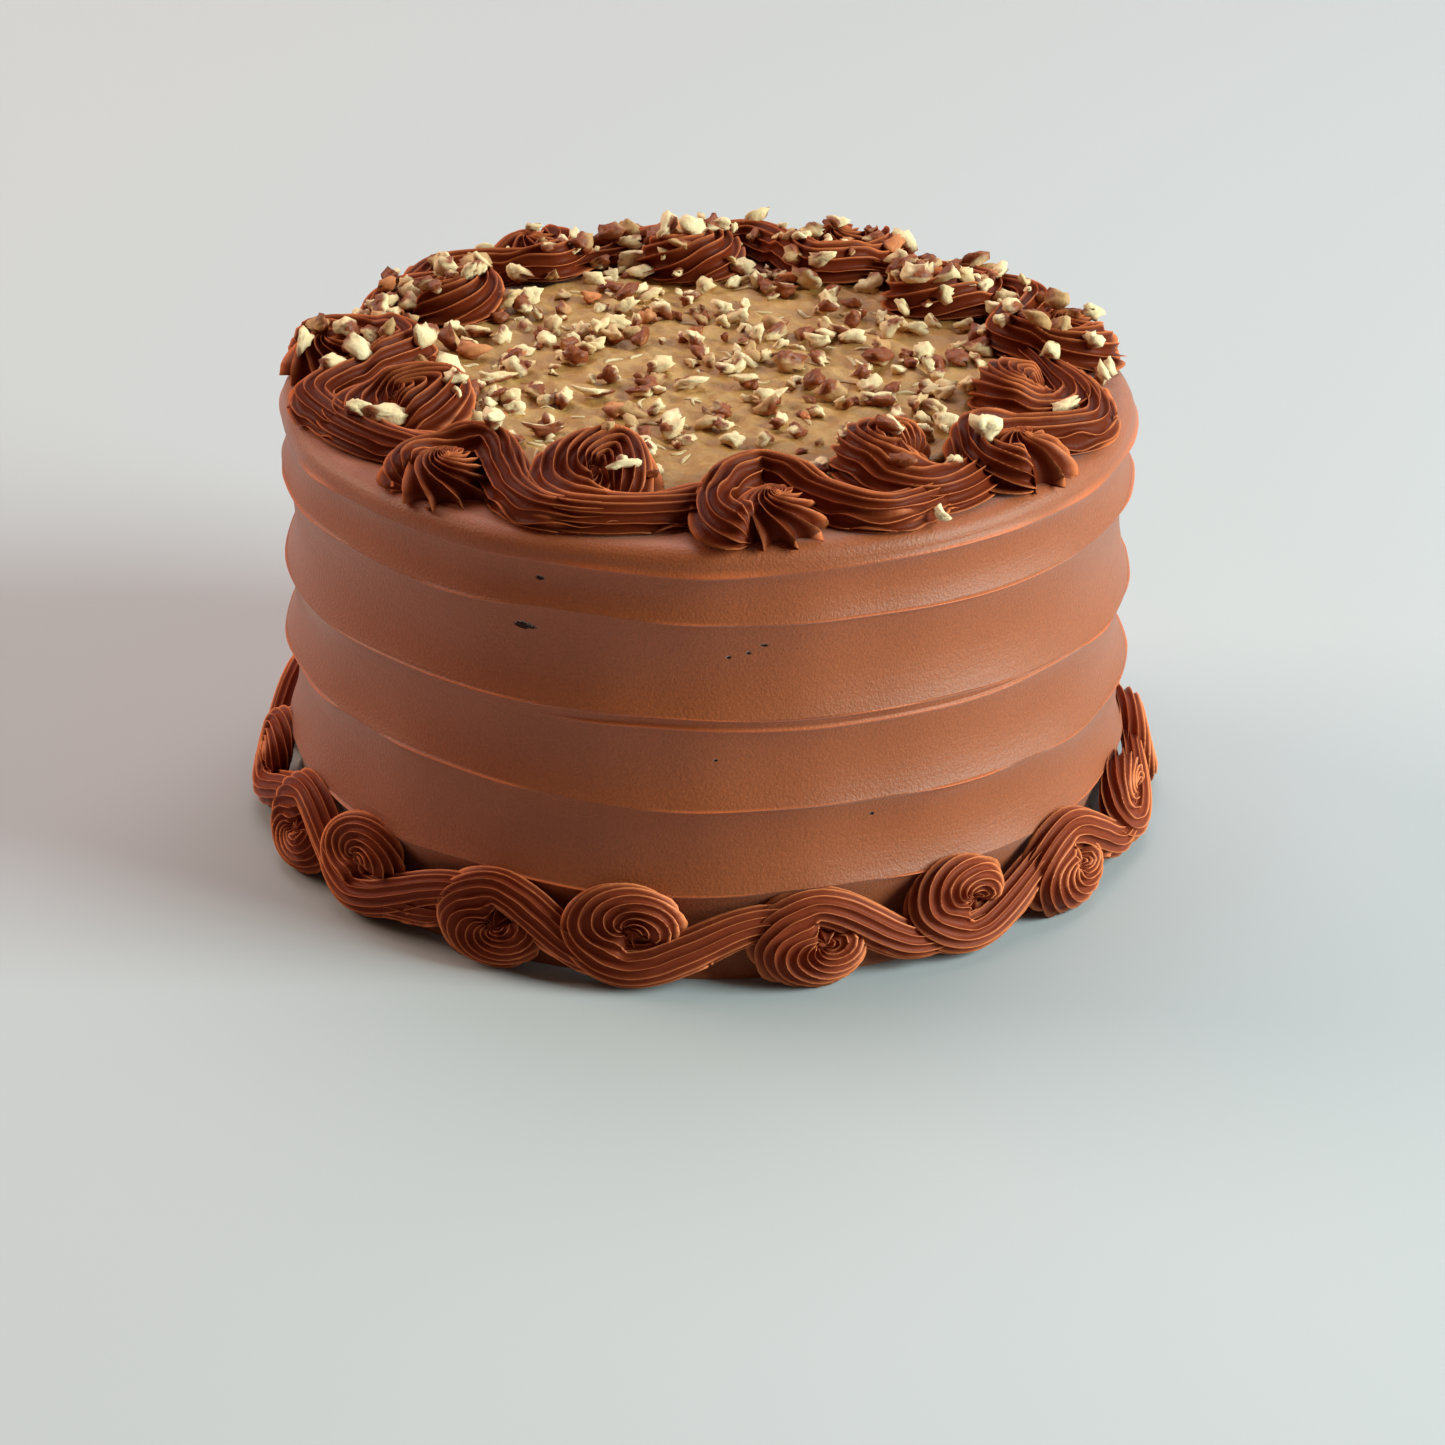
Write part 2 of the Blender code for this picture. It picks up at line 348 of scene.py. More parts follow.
class CAKE_PG_border(bpy.types.PropertyGroup):
    """The piped shells of both borders."""
    # Painted light: the crest colour is a painted highlight along the thin ridges, the groove
    # colour painted shade between them
    crest: shade_property("Crest colour", "Colour along the thin ridges", (0.68, 0.165, 0.058))
    groove: shade_property("Groove colour", "Colour between the ridges",
                           (0.134, 0.0185, 0.0056))
    # Painted light: the bottom border's colours are brighter copies of the top's, painted for
    # light bounced up from below; crest a painted highlight, groove painted shade
    low_crest_highlight_bounce: shade_property("Bottom crest colour", "Colour along the bottom border's ridges",
                              (0.88, 0.235, 0.090))
    low_groove_shade_bounce: shade_property("Bottom groove colour",
                               "Colour between the bottom border's ridges",
                               (0.215, 0.036, 0.0145))
    top_ridges: IntProperty(name="Top ridges", default=15,
                            description="Ridges round a rope of the top border")
    bottom_ridges: IntProperty(name="Bottom ridges", default=14,
                               description="Ridges round a rope of the bottom border")
    depth: FloatProperty(name="Groove depth", description="Share of the rope's radius",
                         subtype='FACTOR', default=0.28)


class CAKE_PG_nuts(bpy.types.PropertyGroup):
    """The chopped nuts scattered over the top."""
    meat: shade_property("Meat colour", "Colour of the broken meat", (0.78, 0.54, 0.295))
    skin: shade_property("Skin colour", "Colour of the skin", (0.205, 0.043, 0.013))
    pieces: IntProperty(name="Pieces", description="Number of strewn pieces", default=430)


# ---------------------------------------------------------------- piped ropes

class Style:
    """How one border's shells are piped, in metres, radians and shares.

    half_width, height, waist: the rope's section; its widest line lies at the waist's share.
    head_start, rope_start: where the head's spiral starts, and where a coned head's rope does.
    curl_start, curl_end, curl_growth: the spiral's reach, and the power that it grows with.
    rise, run, end, fall: how far a tail rises, over which run, its length, and how far it
    bends back, for heads that face outwards (out_) and inwards (in_).
    out_twist, in_twist: the ridges' turn for each radian of the head.
    cone_: the swirl that an outward head starts from. filler: radius and height of the low
    swirl in the other heads. oval: none, or how far the curl goes back and how far its pit
    lies to the front. pit: reach of the hollow in the middle. sink: how much lower the tail
    ends. flare: how far the ridges' ends splay. before, beyond: how far the head's middle
    lies from its solid's start and far edge. shift: how much nearer that edge it stands.
    offset: how far it is moved round the cake.
    """

    def __init__(self, **values):
        self.__dict__.update(values)

    def varied(self, changes):
        return Style(**{**self.__dict__, **changes})


TOP_STYLE = Style(
    seed=11, half_width=0.0069, height=0.0102, waist=0.16,
    head_start=math.radians(18.0), rope_start=math.radians(127.0),
    curl_start=0.0034, curl_end=0.0195, curl_growth=1.2,
    out_rise=0.0255, out_run=0.030, out_end=0.068, out_fall=0.016,
    in_rise=0.0120, in_run=0.034, in_end=0.040,
    cone_radius=0.0118, cone_height=0.0105, rows=100, out_twist=0.55, in_twist=0.55,
    sink=0.50, pit=0.0018, flare=0.0020, offset=0.0, oval=None, cone_turn=math.radians(120.0),
    before=0.0175, beyond=0.0128, shift=0.0040, filler=(0.0085, 0.0068))
BOTTOM_STYLE = Style(
    seed=57, half_width=0.0070, height=0.0070, waist=0.20,
    head_start=math.radians(-28.0), rope_start=math.radians(127.0),
    curl_start=0.0034, curl_end=0.0125, curl_growth=0.8,
    out_rise=0.0185, out_run=0.030, out_end=0.056, out_fall=0.004,
    in_rise=0.0150, in_run=0.034, in_end=0.042,
    cone_radius=0.0, cone_height=0.0, rows=76, out_twist=0.90, in_twist=0.70,
    sink=0.40, pit=0.0020, flare=0.0014, offset=0.0, oval=None, cone_turn=0.0,
    before=0.0168, filler=(0.0064, 0.0052))

# The bottom border lies on a steep cone: its radius at the table, the radius and height where
# it meets the side, the share that a shell's breadth is squashed to on it, how far up it the
# middles of outward and inward heads lie, and the radius at which lengths are turned to azimuth
SLOPE_FOOT = 0.1102
SLOPE_TOP = (0.1040, 0.0230)
SLOPE_SQUASH = 0.72
OUTWARD_UP, INWARD_UP = 0.0104, 0.0142
BOTTOM_RADIUS = 0.1128

# How each of the first eight heads of the top border differs; the others repeat the last six
TOP_HEADS = (
    {}, {"oval": (0.0135, 0.0065)},
    {"curl_end": 0.0155, "out_rise": 0.0215, "out_run": 0.036, "cone_turn": math.radians(165.0)},
    {"oval": (0.0135, 0.0065)},
    {},
    {"oval": (0.0060, 0.0)},
    {"curl_end": 0.0130, "out_rise": 0.0190, "cone_turn": math.radians(30.0),
     "offset": math.radians(-2.5)},
    {"oval": (0.0095, 0.0060), "offset": math.radians(-3.0)},
)


def along_line(place, length, line):
    """The points, or directions, of a line at places along its length."""
    return np.stack([np.interp(place, length, line[:, i]) for i in range(2)], axis=-1)


def shell_path(style, size, outward, coned):
    """Centre line of a rope's shell in its flat frame, with the head angle along it.

    A round head is a spiral about the origin: reach = start + (end - start) * share^growth.
    An oval one lies at (wide * cos, deep * sin) of its angle about its pit, where wide and
    deep change by smooth steps. The tail leaves along x, rises by a smooth step to the y
    side and bends slowly back where it runs round the next head. The line is sampled at
    equal steps and smoothed with a short bell-shaped average.
    """
    step, reach_of_bell = 0.0004, 8
    bend_start, lead = 0.022, 0.0015
    if style.oval:
        back, pit = style.oval
        angle = np.linspace(math.radians(-15.0), HEAD_END, 260)
        wide = 0.0058 + 0.0030 * smooth(angle / math.pi)
        deep = back + (style.curl_end - pit - back) * smooth((angle - math.pi / 2.0) / math.pi)
        head = np.stack([wide * np.cos(angle), deep * np.sin(angle) - pit], axis=-1)
    else:
        angle = np.linspace(style.rope_start if coned else style.head_start, HEAD_END, 220)
        share = (angle - style.head_start) / (HEAD_END - style.head_start)
        growth = share ** style.curl_growth
        reach = style.curl_start + (style.curl_end - style.curl_start) * growth
        head = np.stack([reach * np.cos(angle), reach * np.sin(angle)], axis=-1)
    rise, run, end, fall = (
        (style.out_rise, style.out_run, style.out_end, style.out_fall) if outward else
        (style.in_rise, style.in_run, style.in_end, 0.0))
    x = np.linspace(0.0, end, 200)[1:]
    drop = fall * np.clip((x - bend_start) / (end - bend_start), 0.0, 1.0) ** 1.4
    tail = np.stack([x, -style.curl_end + rise * smooth((x + lead) / run) - drop], axis=-1)
    line = np.concatenate([head, tail]) * size
    turned = np.concatenate([angle, np.full(len(tail), HEAD_END)])
    length = np.concatenate([[0.0], np.cumsum(np.hypot(*np.diff(line, axis=0).T))])
    even = np.arange(0.0, length[-1], step)
    line = along_line(even, length, line)
    turned = np.interp(even, length, turned)
    bell = np.exp(-np.linspace(-2.0, 2.0, 2 * reach_of_bell + 1) ** 2)
    bell /= bell.sum()
    wide = np.pad(line, ((reach_of_bell, reach_of_bell), (0, 0)), mode="reflect",
                  reflect_type="odd")
    line = np.stack([np.convolve(wide[:, i], bell, "valid") for i in range(2)], axis=-1)
    return line, turned, even


def ridged(ridges):
    """Places of the columns, counted in ridges, and how far each lies into a groove.

    groove = sin(pi * place)^0.34, so that ridges are thin and grooves broad.
    """
    shares = np.concatenate([RIDGE_SHARES + k for k in range(ridges)])
    return shares, np.sin(np.pi * (shares % 1.0)) ** 0.34


def rope(style, size, outward, coned, seed, ridges, depth):
    """A shell's rope as a closed grid in the flat frame: (x, y, n) points and their crest.

    Sections stand across the centre line. A point at section angle a lies at
    width * cos(a) * swell to the side and at height * (waist + (1 - waist) * sin(a) * swell)
    above the base, where swell dips by the groove depth between two ridges. Below the
    widest line the section tucks in. The inner side is spread level as far as the pit in
    a head that has no cone, and round elsewhere. The columns follow the ridges. They turn
    round the rope as the head curls, so that they enter at its outer foot and run over the
    crest to the inside, and stop turning where the tail leaves. Ridge ends flare at the foot,
    all round an outward head and at the start of an inward one. The tail's flank that faces
    away from the cake is torn and streaked.
    """
    chance = np.random.default_rng(seed)
    line, turned, even = shell_path(style, size, outward, coned)
    cap, level_run, pit_edge, coned_room = 0.0030, 0.013, 0.0005, 1.15
    total = even[-1]
    place = total * np.linspace(0.0, 1.0, style.rows)
    centre = along_line(place, even, line)
    angle = np.interp(place, even, turned)
    along = unit(along_line(place, even, np.gradient(line, even, axis=0)))
    side = np.stack([along[:, 1], -along[:, 0]], axis=-1)

    # Shares of the head and of the tail along the line, and its rounded ends
    head = 1.0 - smooth((angle - math.radians(235.0)) / math.radians(35.0))
    after = np.clip(place - np.interp(math.radians(269.9), turned, even), 0.0, None)
    fade = smooth(after / max(after[-1], MM))
    ends = np.minimum(place / cap, (total - place) / (2.5 * cap))
    ends = np.sqrt(1.0 - (1.0 - np.clip(ends, 0.0, 1.0)) ** 2)
    ends = 0.04 + 0.96 * ends
    slimmer = 1.0 - TAIL_THINNING * fade
    width = style.half_width * size * slimmer * ends
    height = style.height * size * (1.0 - style.sink * fade) * ends

    # The way and the room from the line to the head's pit, on the inner side
    level_part = 1.0 - smooth(after / level_run) if style.oval else head
    to_pit = np.array([0.0, -(style.oval[1] if style.oval else 0.0) * size]) - centre
    reach = np.linalg.norm(to_pit, axis=1)
    inwards = unit(-side * (1.0 - level_part)[:, None]
                   + to_pit / reach[:, None] * level_part[:, None])
    inner = (reach - pit_edge) * level_part + style.half_width * size * (1.0 - level_part)
    if coned:
        inner = np.minimum(inner, style.half_width * coned_room)
    inner = inner * slimmer * ends

    # The ridges' angles round the section, and how deep the grooves between them are cut
    shares, groove = ridged(ridges)
    turning = style.out_twist if outward else style.in_twist
    easing = 1.0 - smooth((angle - math.radians(195.0)) / math.radians(75.0))
    twist = turning * np.cumsum(easing * np.gradient(angle))
    start = chance.uniform(0.0, TURN / ridges)
    wobble = 0.012 * waves(np.stack(np.meshgrid(place / MM, shares, indexing="ij"), -1),
                          9.0, seed + 1)
    theta = TURN * shares[None, :] / ridges + twist[:, None] + start + wobble
    theta = (theta + math.pi / 2.0) % TURN - math.pi / 2.0
    cosine, sine = np.cos(theta), np.sin(theta)

    cut = depth * groove[None, :] * slimmer[:, None] * smooth(ends - 0.2)[:, None]
    near_foot = np.exp(-(theta / math.radians(28.0)) ** 2) * head[:, None]
    cut = cut * (1.0 + 0.5 * near_foot)
    if coned:
        # The grooves run out on the inner side, where the rope starts round its cone
        scraped = head * smooth((math.radians(200.0) - angle) / math.radians(30.0))
        cut = cut * (1.0 - scraped[:, None] * smooth((theta - 1.75) / 0.5))

    # The inner side: spread level as far as the pit in a head, round in a tail
    inward = np.clip((theta - math.pi / 2.0) / (math.pi / 2.0), 0.0, 1.0)
    spread = -0.45 * cosine + 0.55 * inward
    flat = (0.0 if coned else 1.0) * level_part[:, None] * np.ones_like(theta)
    across = np.where(theta > math.pi / 2.0, spread * flat - cosine * (1.0 - flat), 0.0)
    across = np.where(theta > math.pi, -cosine, across)
    hollow = np.clip(1.0 - (1.0 - across) * inner[:, None] / style.pit, 0.0, 1.0)
    shelf = 1.0 - 0.05 * across ** 2 - 0.40 * smooth(hollow)
    lateral = np.where(cosine > 0.0, width[:, None] * cosine * (1.0 - cut),
                       -inner[:, None] * across * np.where(flat > 0.5, 1.0, 1.0 - cut))
    waist = style.waist
    round_top = waist + (1.0 - waist) * sine * (1.0 - cut)
    flat_top = shelf * (1.0 - cut * (1.0 - 0.5 * hollow))
    upper = np.where(theta > math.pi / 2.0, flat_top * flat + round_top * (1.0 - flat), round_top)
    under = np.where(sine < 0.0, waist * (1.0 + 1.4 * sine), waist)
    under = np.where(theta > math.pi, under * (1.0 - flat) - 0.05 * flat, under)
    level = height[:, None] * np.where(sine > 0.0, upper, np.maximum(under, -0.05))

    # Flared ridge ends at the head's foot
    tips = np.interp(shares, np.arange(ridges + 1), chance.uniform(0.4, 1.3, ridges + 1))
    flare = style.flare * tips * np.exp(-((theta + 0.05) / 0.26) ** 2) * (1.0 - groove) ** 1.5
    tipped = head if outward else 1.0 - smooth((angle - math.radians(50.0)) / 0.4)
    lateral = lateral + flare * tipped[:, None] * ends[:, None]

    points = np.empty(theta.shape + (3,))
    for axis in range(2):
        aside = np.where(lateral > 0.0, side[:, axis, None], -inwards[:, axis, None])
        points[..., axis] = centre[:, axis, None] + aside * lateral
    points[..., 2] = level
    if style.oval:
        # The far side of an oval curl stands higher than the near one
        lean = 0.5 + 0.5 * np.clip((points[..., 1] + 0.005) / 0.016, -1.0, 1.0)
        points[..., 2] *= 0.74 + 0.42 * smooth(lean)

    # The tail's torn flank
    torn = smooth(fade[:, None] * 2.5) * smooth((cosine * (-1.0 if outward else 1.0) - 0.60) / 0.3)
    streaks = np.stack([place[:, None] / 0.009 + 0.0 * theta, theta * 1.3], axis=-1)
    points[..., 2] += 0.00055 * waves(streaks, 1.0, seed + 2) * torn * (sine > -0.2)
    crest = (1.0 - groove)[None, :] * np.ones_like(theta)
    rough = waves(streaks * np.array([1.0, 4.0]), 1.0, seed + 4)
    scrape = torn * (0.50 + 0.16 * waves(streaks, 1.0, seed + 2) + 0.12 * rough)
    return points, np.clip(np.maximum(crest, scrape), 0.0, 1.0)


def cone(style, size, seed, depth, ridges=11):
    """The swirl in the middle of a head, as a closed grid in the flat frame, and its crest.

    Rows run from the apex to the foot and back under to the middle. The radius is
    cone_radius * q and the height follows a round shoulder, height * (1 - q^2.3)^(1 / 1.9).
    The ridges turn by cone_turn between foot and apex, where one curls up as a hook.
    """
    chance = np.random.default_rng(seed)
    above = 26
    q = np.concatenate([np.linspace(0.03, 1.0, above) ** 0.85, [0.93, 0.5, 0.05]])
    under = np.arange(len(q)) >= above
    shares, groove = ridged(ridges)
    start = chance.uniform(0.0, TURN)
    turn = style.cone_turn * (1.0 - q) ** 1.1 + 2.4 * np.exp(-q / 0.15)
    angle = start + TURN * shares[None, :] / ridges + turn[:, None]
    cut = depth * 1.25 * groove[None, :] * smooth((q[:, None] - 0.02) / 0.25)
    cut = np.where(under[:, None], depth * groove[None, :], cut)
    reach = style.cone_radius * size * q[:, None] * (1.0 - cut * smooth(q[:, None] * 1.5))
    level = style.cone_height * size * np.clip(1.0 - q ** 2.3, 0.0, 1.0) ** (1.0 / 1.9)
    level = np.where(under, -0.0003, level)[:, None] * (1.0 - 0.6 * cut)
    flare = 0.0013 * (1.0 - groove[None, :]) ** 1.5 * smooth((q[:, None] - 0.8) / 0.2)
    reach = reach + flare
    points = np.empty(angle.shape + (3,))
    points[..., 0] = reach * np.cos(angle)
    points[..., 1] = reach * np.sin(angle)
    points[..., 2] = level
    swirl = np.exp(-((q - 0.14) / 0.08) ** 2)[:, None]
    points[..., 2] += 0.0004 * swirl * np.cos(angle - 14.0 * q[:, None] - 1.0)
    points[..., 2] += 0.00006 * waves(points, 0.004, seed + 3) * (~under)[:, None]
    return points, (1.0 - groove)[None, :] * np.ones_like(angle)


def on_top(points, azimuth, radius, outward):
    """Carry flat shell points (x, y, n) onto the top, in rings round the Z axis.

    The base steps up from the frosting to the caramel.
    """
    x, y, n = points[..., 0], points[..., 1], points[..., 2]
    reach = radius + (y if outward else -y)
    step = 1.0 - smooth((reach - (CARAMEL_RADIUS + 0.004)) / 0.006)
    base = CAKE_TOP - 0.0002 + (CARAMEL_TOP - CAKE_TOP) * step
    return polar_points(azimuth + x / radius, reach, base + n)


def on_slope(points, azimuth, rise, outward):
    """Carry flat shell points (x, y, n) onto the steep cone between the side and the table."""
    x, y, n = points[..., 0], points[..., 1], points[..., 2]
    length = math.hypot(SLOPE_TOP[0] - SLOPE_FOOT, SLOPE_TOP[1])
    along = ((SLOPE_TOP[0] - SLOPE_FOOT) / length, SLOPE_TOP[1] / length)
    up = rise + (-y if outward else y) * SLOPE_SQUASH
    reach = SLOPE_FOOT + along[0] * up + along[1] * n
    level = np.maximum(along[1] * up - along[0] * n, 0.0)
    return polar_points(azimuth + x / SLOPE_FOOT, reach, level)


def pipe_border(nodes, style, heads, ridges, finish, carry):
    """One piece for each shell of a border, each in the place of its solid.

    Heads face outwards and inwards in turn. An inward one is carried mirrored, so its faces
    are turned round.
    """
    depth = bpy.context.scene.cake_border.depth
    for index, node in enumerate(nodes):
        outward = index % 2 == 0
        size = 1.0 + 0.03 * math.sin(2.4 * index + 0.6)
        low, _, inside, outside = polar_range(node)
        seed = style.seed + 100 * index
        shape = style.varied(heads[index if index < 8 else index - 6]) if heads else style
        coned = outward and style.cone_radius > 0.0
        grids = [rope(shape, size, outward, coned, seed, ridges, depth)]
        if coned:
            grids.append(cone(shape, size, seed, depth))
        else:
            # A low swirl fills the middle of the curl
            wide, tall = shape.filler
            low_swirl = shape.varied({"cone_radius": wide, "cone_height": tall})
            points, crest = cone(low_swirl, size, seed, depth, 8)
            points[..., 1] -= (shape.oval[1] if shape.oval else 0.0) * size
            grids.append((points, crest))
        parts = []
        for points, crest in grids:
            placed = carry(points, low + shape.offset, inside, outside, outward)
            vertices, faces = closed_grid(placed, turned=not outward)
            parts.append((vertices, faces, {"crest": closed_values(crest)}))
        piece = add_piece("piped_" + node, *joined(parts), finish, "piped_chocolate")
        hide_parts(node)


def carry_top(points, low, inside, outside, outward):
    """Place a shell of the top border by the reach of its solid."""
    style = TOP_STYLE
    radius = (outside - style.beyond + style.shift) if outward else (
        inside + style.beyond - style.shift)
    solid = radius - style.shift if outward else radius + style.shift
    return on_top(points, low + style.before / solid, radius, outward)


def carry_bottom(points, low, _inside, _outside, outward):
    """Place a shell of the bottom border by the start of its solid."""
    azimuth = low + BOTTOM_STYLE.before / BOTTOM_RADIUS
    return on_slope(points, azimuth, OUTWARD_UP if outward else INWARD_UP, outward)


def piped_finish(name, crest_highlight_colour, groove_shadow_colour):
    """Glossy dark chocolate, with a painted redder highlight along its thin ridges and painted
    shade in its grooves.
    """
    finish = Finish(name, Specular_IOR_Level=0.045)
    crest = finish.field("crest")
    mottle = finish.noise(0.0045, 3.0)
    # Painted light: crests take the painted highlight colour and grooves the painted shade colour
    ridge = (crest.power(3.8) * 1.05 + mottle * 0.30 - 0.13).ramp(0.0, 1.0)
    finish.feed("Base Color", finish.blend(ridge, colour(groove_shadow_colour), colour(crest_highlight_colour)))
    finish.feed("Roughness", mottle * 0.20 + 0.28)
    finish.bump(finish.noise(0.0011, 3.0, 0.6), 0.00012)
    return finish.material


# ---------------------------------------------------------------- frosting

def round_waves(azimuth, size, seed):
    """Smooth uneven values round the cake."""
    return waves(np.stack([np.cos(azimuth), np.sin(azimuth)], -1), size, seed)


def comb_heights(azimuth):
    """Heights of the comb's ridges all round, lowest first; the comb drifted as it turned."""
    points = node_points("frosted_cake")
    reach = np.hypot(points[:, 0], points[:, 1])
    levels = np.unique(np.round(points[reach > reach.max() - 0.0001][:, 2], 4))
    levels = levels[levels > 0.01]
    right = smooth((np.sin(azimuth) - 0.2) / 0.8)
    left_to_right = np.sin(azimuth)
    drift = {1: 0.0003 - 0.0031 * left_to_right, 2: -0.0045 * right, 3: -0.0020 * right}
    heights = [np.zeros_like(azimuth)]
    for index, level in enumerate(levels):
        uneven = 0.0004 * round_waves(azimuth, 0.8, 40 + index)
        heights.append(level + drift.get(index, 0.0) + uneven)
    return heights


def frosting_grid(columns, flute_depth, burr):
    """The frosted cake as a closed grid round the Z axis, from the top's middle to the base's.

    Between two ridges the side is hollow: radius = ridge radius - depth * 4 u (1 - u), where
    u runs from one ridge to the next. A thin uneven lip stands on each ridge, and at the
    front a second one runs below the doubled ridge, the third, and joins it.
    """
    azimuth = np.arange(columns) * TURN / columns
    heights = comb_heights(azimuth)
    rim, inset, full_height = 0.0045, 0.0003, 0.022
    doubled, lip_below, lip_width = 3, 0.00020, 0.00030
    # Rows of radius, height and lip, each a number or one value for every column
    rows = [(CAKE_RADIUS * share, CAKE_TOP, 0.0)
            for share in (0.02, 0.3, 0.6, 0.72, 0.82, 0.90, 0.945)]
    for step in range(0, 9):
        turn = math.pi / 2.0 * (1.0 - step / 8.0)
        rows.append((CAKE_RADIUS - rim + rim * math.cos(turn) - inset,
                     CAKE_TOP - rim + rim * math.sin(turn), 0.0))
    front = smooth((np.cos(azimuth - 0.35) - 0.72) / 0.15)
    for band in range(len(heights) - 1, 0, -1):
        high, low = heights[band], heights[band - 1]
        twice = band == doubled
        count = 14 if band == len(heights) - 1 else 62 if twice else 40
        share = np.linspace(0.0, 1.0, count + 1)
        share = share - np.sin(TURN * share) / TURN * (0.45 if twice else 0.80)
        lip = np.clip(0.45 + 0.60 * round_waves(azimuth, 0.45, 70 + band), 0.0, 1.2)
        second = high - 0.0031 + 0.0028 * smooth((azimuth - 0.55) / 0.5) * (azimuth < math.pi)
        depth = flute_depth * np.minimum(1.0, (high - low) / full_height)
        for u in share[:-1]:
            reach = CAKE_RADIUS - depth * 4.0 * u * (1.0 - u)
            level = high + (low - high) * u
            line = lip * np.exp(-((level - high + lip_below) / lip_width) ** 2)
            if twice:
                line = line + 0.7 * front * np.exp(-((level - second) / 0.00035) ** 2)
                reach = reach - 0.0005 * front * smooth((level - second) / 0.0006)
            rows.append((reach + burr * line, level, line))
    rows += [(CAKE_RADIUS - 0.0008, 0.0, 0.0), (CAKE_RADIUS * 0.5, 0.0, 0.0),
             (CAKE_RADIUS * 0.02, 0.0, 0.0)]
    radius, level, lip = (np.stack([np.broadcast_to(row[i], columns) for row in rows])
                          for i in range(3))
    sway = 0.00025 * waves(polar_points(azimuth, radius, level), 0.035, 5)
    radius = radius + sway * (level > 0.0005)
    return polar_points(azimuth, radius, level), lip


# Small holes left in the frosting, painted as dark spots of shadow with a dent of bump: azimuth in
# degrees, height, and their own length and height in mm; how far in their middles lie, and the
# colour of their painted shadow
HOLE_DEPTH = 0.0020
HOLE_SHADE = (0.030, 0.009, 0.004)
HOLES = ((-24.4, 87.0, 4.0, 1.8), (-23.2, 86.8, 2.4, 1.0), (-21.9, 99.7, 2.2, 1.0),
         (2.9, 82.9, 1.6, 0.8), (5.4, 84.0, 1.3, 0.8), (7.4, 86.1, 1.8, 0.8),
         (22.4, 39.4, 1.2, 0.8), (1.3, 56.7, 1.0, 0.7))


def frosting_finish():
    """Matt buttercream with fine grain and faint lines drawn round by the comb, with a painted
    highlight on the comb's lips and painted shadow in its small holes.
    """
    settings = bpy.context.scene.cake_frosting
    finish = Finish("chocolate_frosting_finish", Specular_IOR_Level=0.45, Sheen_Weight=0.34,
                    Sheen_Roughness=0.4)
    lip = finish.field("lip")
    cloud = finish.noise(0.030, 3.0, 0.55)
    grain = finish.noise(0.0007, 2.0, 0.6)
    lines = finish.noise(0.0018, 3.0, 0.6, (0.05, 0.05, 1.0))
    base = settings.shade
    speck = finish.noise(0.0006, 2.0, 0.6)
    tone = finish.blend(cloud * 0.5 + speck * 2.0 - 0.75, colour(base, 0.80, 0.80, 0.80),
                        colour(base, 1.16, 1.16, 1.16))
    # Painted highlight: the comb's lips are painted lighter, for the light that they catch
    tone = finish.blend(lip * 1.1, tone, colour(base, 1.9, 1.7, 1.5))
    # Painted shadow: each hole is a spot painted near black and made metallic, so that it reflects
    # nothing, for the shade inside it; the bump also dents it
    hole_shadow = 0.0
    for azimuth, height, length, tall in HOLES:
        turn = math.radians(azimuth)
        reach = CAKE_RADIUS - HOLE_DEPTH
        centre = (reach * math.sin(turn), -reach * math.cos(turn), height * MM)
        hole_shadow = finish.spot(centre, length * MM / 2.0, tall * MM / 2.0, grain) + hole_shadow
    finish.feed("Base Color", finish.blend(hole_shadow, tone, colour(HOLE_SHADE)))
    finish.feed("Metallic", hole_shadow)
    finish.feed("Roughness", cloud * 0.12 + 0.46)
    finish.bump(grain * 0.45 + lines * 0.35 - hole_shadow * 3.0, 0.00036)
    return finish.material


# ---------------------------------------------------------------- caramel

def caramel_lift(points, lumps):
    """How far the caramel's lumps raise its face: soft waves of three sizes."""
    flat = points[..., :2]
    return lumps * (waves(flat, 0.014, 21) * 0.55 + waves(flat, 0.006, 22) * 0.5
                    + waves(flat, 0.0027, 23, 26) * 0.10)


def caramel_grid(lumps):
    """The caramel as a closed grid round the Z axis: its upper face lumpy, its edge round."""
    columns = 300
    azimuth = np.arange(columns) * TURN / columns
    share = np.concatenate([np.linspace(0.01, 0.97, 118), [0.985, 0.995, 1.0, 1.0]])
    points = polar_points(azimuth, (CARAMEL_RADIUS * share)[:, None], CARAMEL_TOP)
    inside = smooth((1.0 - share[:, None]) / 0.06)
    points[..., 2] += caramel_lift(points, lumps) * inside
    points[-4:, :, 2] -= np.array([0.0003, 0.0008, 0.0014, 0.0022])[:, None]
    under = points[-1:].copy()
    under[..., :2] *= 0.02
    under[..., 2] = CARAMEL_LOW.z
    return np.concatenate([points, under])


